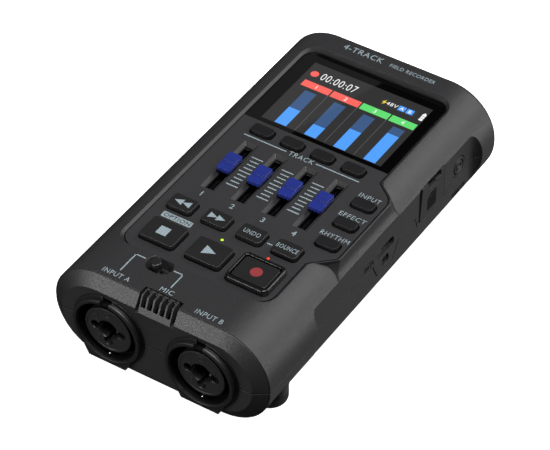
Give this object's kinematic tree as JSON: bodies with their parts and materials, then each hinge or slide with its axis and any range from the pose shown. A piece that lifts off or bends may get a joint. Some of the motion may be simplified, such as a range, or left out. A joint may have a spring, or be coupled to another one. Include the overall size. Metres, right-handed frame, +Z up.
{
  "type": "portable field recorder",
  "caption": "Hand-held track recorder with a colour screen, blue faders, transport keys, combo microphone sockets, side ports and a battery bay underneath.",
  "frame": {"origin": "on the table under the middle of the recorder, at the underside of its feet", "axes": "+X right side (USB and card slots), +Y towards the screen end, +Z up out of the control panel"},
  "size_m": [0.0716, 0.1314, 0.0373],
  "materials": {
    "case": "fine moulded texture, charcoal",
    "panel": "fine moulded texture, slightly cooler than the case",
    "key": "satin near-black",
    "fader_blue": "satin blue",
    "rubber": "matte",
    "socket": "satin black moulding",
    "window": "polished dark window with the display printed behind it",
    "lcd": "display module",
    "board": "circuit board",
    "metal": "plated steel",
    "brass": "turned brass",
    "cell": "plain sleeved cell",
    "led_green": "clear green lens",
    "led_red": "clear red lens"
  },
  "bodies": {
    "root": {"upper_case": "case", "lower_case": "case", "control_panel": "panel", "screen_window": "window", "lcd_module": "lcd", "record_guard": "key", "mic_grille": "key", "play_led": "led_green", "record_led": "led_red", "fader_body_1": "metal", "fader_body_2": "metal", "fader_body_3": "metal", "fader_body_4": "metal", "combo_contact_a": "metal", "combo_contact_b": "metal", "mic_capsule": "metal", "mode_switch": "metal", "usb_socket": "metal", "card_socket": "metal", "combo_shell_a": "socket", "combo_shell_b": "socket", "combo_insert_a": "socket", "combo_insert_b": "socket", "phones_jack": "socket", "line_jack": "socket", "foot_front_left": "rubber", "foot_front_right": "rubber", "foot_rear_left": "rubber", "foot_rear_right": "rubber", "main_board": "board", "key_board": "board", "battery_1": "cell", "battery_2": "cell", "battery_3": "cell", "battery_4": "cell", "tripod_insert": "brass"},
    "fader_1": {"fader_cap_1": "fader_blue"},
    "fader_2": {"fader_cap_2": "fader_blue"},
    "fader_3": {"fader_cap_3": "fader_blue"},
    "fader_4": {"fader_cap_4": "fader_blue"},
    "track_button_1": {"track_button_1": "key"},
    "track_button_2": {"track_button_2": "key"},
    "track_button_3": {"track_button_3": "key"},
    "track_button_4": {"track_button_4": "key"},
    "input_button": {"input_button": "key"},
    "effect_button": {"effect_button": "key"},
    "rhythm_button": {"rhythm_button": "key"},
    "rewind_key": {"rewind_key": "key"},
    "forward_key": {"forward_key": "key"},
    "undo_key": {"undo_key": "key"},
    "bounce_key": {"bounce_key": "key"},
    "stop_key": {"stop_key": "key"},
    "play_key": {"play_key": "key"},
    "record_key": {"record_key": "key"},
    "mode_knob": {"mode_knob": "key"},
    "power_knob": {"power_knob": "key"},
    "volume_wheel": {"volume_wheel": "key"},
    "card_cover": {"card_cover": "rubber"},
    "port_plug": {"port_plug": "rubber"},
    "battery_cover": {"battery_cover": "case"}
  },
  "joints": [
    {"name": "fader_1_slide", "type": "slide", "parent": "root", "child": "fader_1", "axis": [0, 1, 0], "range_m": [-0.008, 0.008]},
    {"name": "fader_2_slide", "type": "slide", "parent": "root", "child": "fader_2", "axis": [0, 1, 0], "range_m": [-0.008, 0.008]},
    {"name": "fader_3_slide", "type": "slide", "parent": "root", "child": "fader_3", "axis": [0, 1, 0], "range_m": [-0.008, 0.008]},
    {"name": "fader_4_slide", "type": "slide", "parent": "root", "child": "fader_4", "axis": [0, 1, 0], "range_m": [-0.008, 0.008]},
    {"name": "track_button_1_press", "type": "slide", "parent": "root", "child": "track_button_1", "axis": [0, 0, -1], "range_m": [0, 0.0008], "stiffness_N_per_m": 200, "springref_m": -0.001},
    {"name": "track_button_2_press", "type": "slide", "parent": "root", "child": "track_button_2", "axis": [0, 0, -1], "range_m": [0, 0.0008], "stiffness_N_per_m": 200, "springref_m": -0.001},
    {"name": "track_button_3_press", "type": "slide", "parent": "root", "child": "track_button_3", "axis": [0, 0, -1], "range_m": [0, 0.0008], "stiffness_N_per_m": 200, "springref_m": -0.001},
    {"name": "track_button_4_press", "type": "slide", "parent": "root", "child": "track_button_4", "axis": [0, 0, -1], "range_m": [0, 0.0008], "stiffness_N_per_m": 200, "springref_m": -0.001},
    {"name": "input_button_press", "type": "slide", "parent": "root", "child": "input_button", "axis": [0, 0, -1], "range_m": [0, 0.0008], "stiffness_N_per_m": 200, "springref_m": -0.001},
    {"name": "effect_button_press", "type": "slide", "parent": "root", "child": "effect_button", "axis": [0, 0, -1], "range_m": [0, 0.0008], "stiffness_N_per_m": 200, "springref_m": -0.001},
    {"name": "rhythm_button_press", "type": "slide", "parent": "root", "child": "rhythm_button", "axis": [0, 0, -1], "range_m": [0, 0.0008], "stiffness_N_per_m": 200, "springref_m": -0.001},
    {"name": "rewind_key_press", "type": "slide", "parent": "root", "child": "rewind_key", "axis": [0, 0, -1], "range_m": [0, 0.0008], "stiffness_N_per_m": 200, "springref_m": -0.001},
    {"name": "forward_key_press", "type": "slide", "parent": "root", "child": "forward_key", "axis": [0, 0, -1], "range_m": [0, 0.0008], "stiffness_N_per_m": 200, "springref_m": -0.001},
    {"name": "undo_key_press", "type": "slide", "parent": "root", "child": "undo_key", "axis": [0, 0, -1], "range_m": [0, 0.0008], "stiffness_N_per_m": 200, "springref_m": -0.001},
    {"name": "bounce_key_press", "type": "slide", "parent": "root", "child": "bounce_key", "axis": [0, 0, -1], "range_m": [0, 0.0008], "stiffness_N_per_m": 200, "springref_m": -0.001},
    {"name": "stop_key_press", "type": "slide", "parent": "root", "child": "stop_key", "axis": [0, 0, -1], "range_m": [0, 0.0008], "stiffness_N_per_m": 200, "springref_m": -0.001},
    {"name": "play_key_press", "type": "slide", "parent": "root", "child": "play_key", "axis": [0, 0, -1], "range_m": [0, 0.0008], "stiffness_N_per_m": 200, "springref_m": -0.001},
    {"name": "record_key_press", "type": "slide", "parent": "root", "child": "record_key", "axis": [0, 0, -1], "range_m": [0, 0.0008], "stiffness_N_per_m": 200, "springref_m": -0.001},
    {"name": "mode_knob_slide", "type": "slide", "parent": "root", "child": "mode_knob", "axis": [1, 0, 0], "range_m": [0, 0.002]},
    {"name": "power_knob_slide", "type": "slide", "parent": "root", "child": "power_knob", "axis": [0, 1, 0], "range_m": [0, 0.003]},
    {"name": "volume_wheel_turn", "type": "hinge", "parent": "root", "child": "volume_wheel", "pos_m": [-0.0263, -0.018, 0.02265], "axis": [0, 0, 1], "range_deg": [-135, 135]},
    {"name": "card_cover_hinge", "type": "hinge", "parent": "root", "child": "card_cover", "pos_m": [0.03335, 0.02965, 0.017], "axis": [0, 1, 0], "range_deg": [0, 100]},
    {"name": "port_plug_pull", "type": "slide", "parent": "root", "child": "port_plug", "axis": [1, 0, 0], "range_m": [0, 0.006]},
    {"name": "battery_cover_lift", "type": "slide", "parent": "root", "child": "battery_cover", "axis": [0, 0, -1], "range_m": [0, 0.01]}
  ]
}
